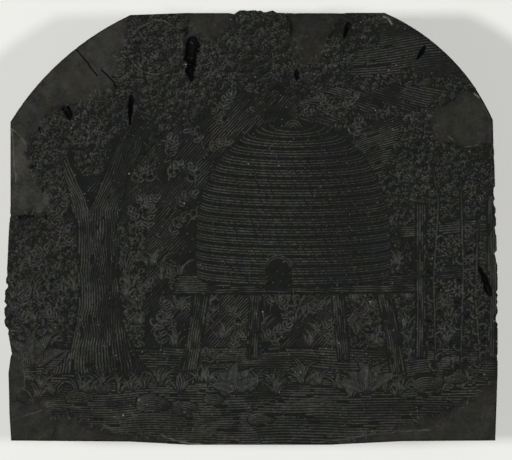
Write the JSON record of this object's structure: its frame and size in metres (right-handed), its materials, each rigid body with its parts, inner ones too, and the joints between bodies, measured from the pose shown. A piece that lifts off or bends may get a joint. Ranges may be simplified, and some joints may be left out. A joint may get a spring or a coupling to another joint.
{
  "type": "engraved wood printing block",
  "caption": "Type-high slab of end-grain boxwood with pared upper corners, an engraved printing face, scraped low ground, a driven round plug and pasted underlays.",
  "frame": {"origin": "middle of the underside, where the block stands on the bed of the press", "axes": "+Z from the foot to the printing face, +Y to the head of the engraved picture, +X to the right of the picture on the block"},
  "size_m": [0.084, 0.074, 0.0233],
  "materials": {
    "inked_boxwood": "satin",
    "plug_boxwood": "satin",
    "grey_card": "matte",
    "laid_paper": "matte"
  },
  "bodies": {
    "root": {"boxwood_block": "inked_boxwood", "repair_plug": "plug_boxwood", "card_underlay": "grey_card", "paper_underlay": "laid_paper"}
  },
  "joints": []
}
